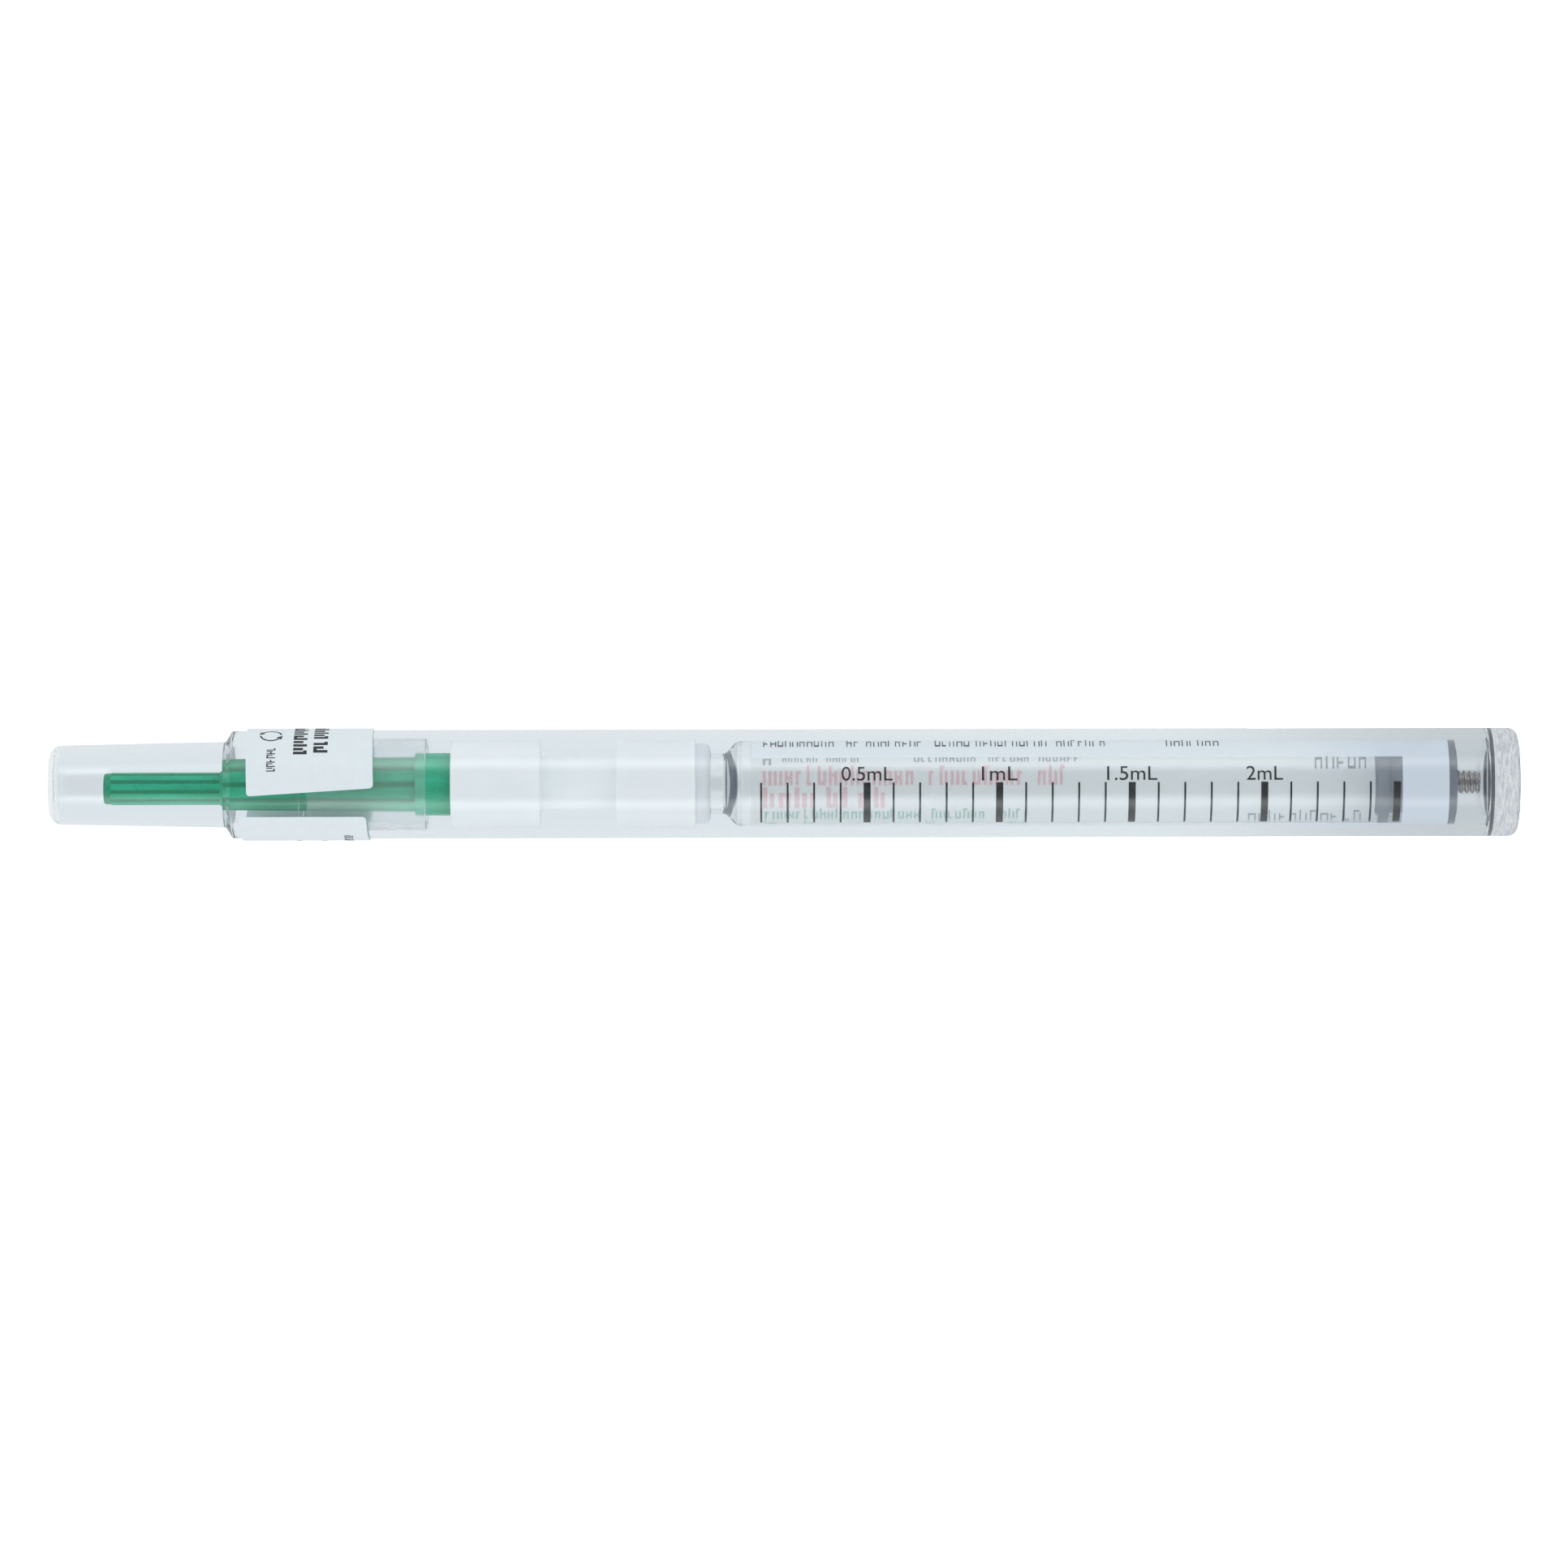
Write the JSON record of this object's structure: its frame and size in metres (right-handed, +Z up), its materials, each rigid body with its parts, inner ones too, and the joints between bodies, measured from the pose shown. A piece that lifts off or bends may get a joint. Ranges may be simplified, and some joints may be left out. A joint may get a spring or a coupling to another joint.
{
  "type": "prefilled syringe cartridge in its sealed storage tube",
  "caption": "Glass syringe cartridge with a locking luer hub, green tip cover and rubber stopper, held in a clear tube with a plug cap and a wrapped seal.",
  "frame": {"origin": "centre of the flat foot of the storage tube, which the part stands on", "axes": "+Z runs up the long axis from the closed end of the tube to the tip of the cap, and the printed scale faces -Y"},
  "size_m": [0.0114, 0.0114, 0.1501],
  "materials": {
    "clear_tube": "clear moulded plastic with a frosted foot",
    "clear_cap": "clear moulded plastic",
    "seal_paper": "smooth white label paper",
    "green_plastic": "satin moulded plastic",
    "white_plastic": "translucent white moulded plastic",
    "steel": "bright drawn and cut steel",
    "crimp_aluminium": "satin rolled aluminium",
    "grey_rubber": "matte grey rubber",
    "barrel_glass": "clear tubular glass",
    "label_film": "clear printed film with a pale band",
    "clear_liquid": "clear watery liquid",
    "dark_rubber": "matte dark grey rubber"
  },
  "bodies": {
    "package": {"package_tube": "clear_tube", "seal_label_tube": "seal_paper", "glass_barrel": "barrel_glass", "barrel_label": "label_film", "crimp_ferrule": "crimp_aluminium", "diaphragm": "grey_rubber", "solution": "clear_liquid"},
    "cap": {"package_cap": "clear_cap", "seal_label_cap": "seal_paper"},
    "hub": {"luer_hub": "white_plastic", "piercing_cannula": "steel", "tip_cover": "green_plastic"},
    "stopper": {"piston": "dark_rubber", "piston_stud": "steel"}
  },
  "joints": [
    {"name": "cap_pull", "type": "slide", "parent": "package", "child": "cap", "axis": [0, 0, 1], "range_m": [0, 0.036]},
    {"name": "hub_engage", "type": "slide", "parent": "package", "child": "hub", "axis": [0, 0, -1], "range_m": [0, 0.0033], "deforming": ["diaphragm"]},
    {"name": "piston_slide", "type": "slide", "parent": "package", "child": "stopper", "axis": [0, 0, 1], "range_m": [0, 0.064], "deforming": ["solution"]}
  ]
}
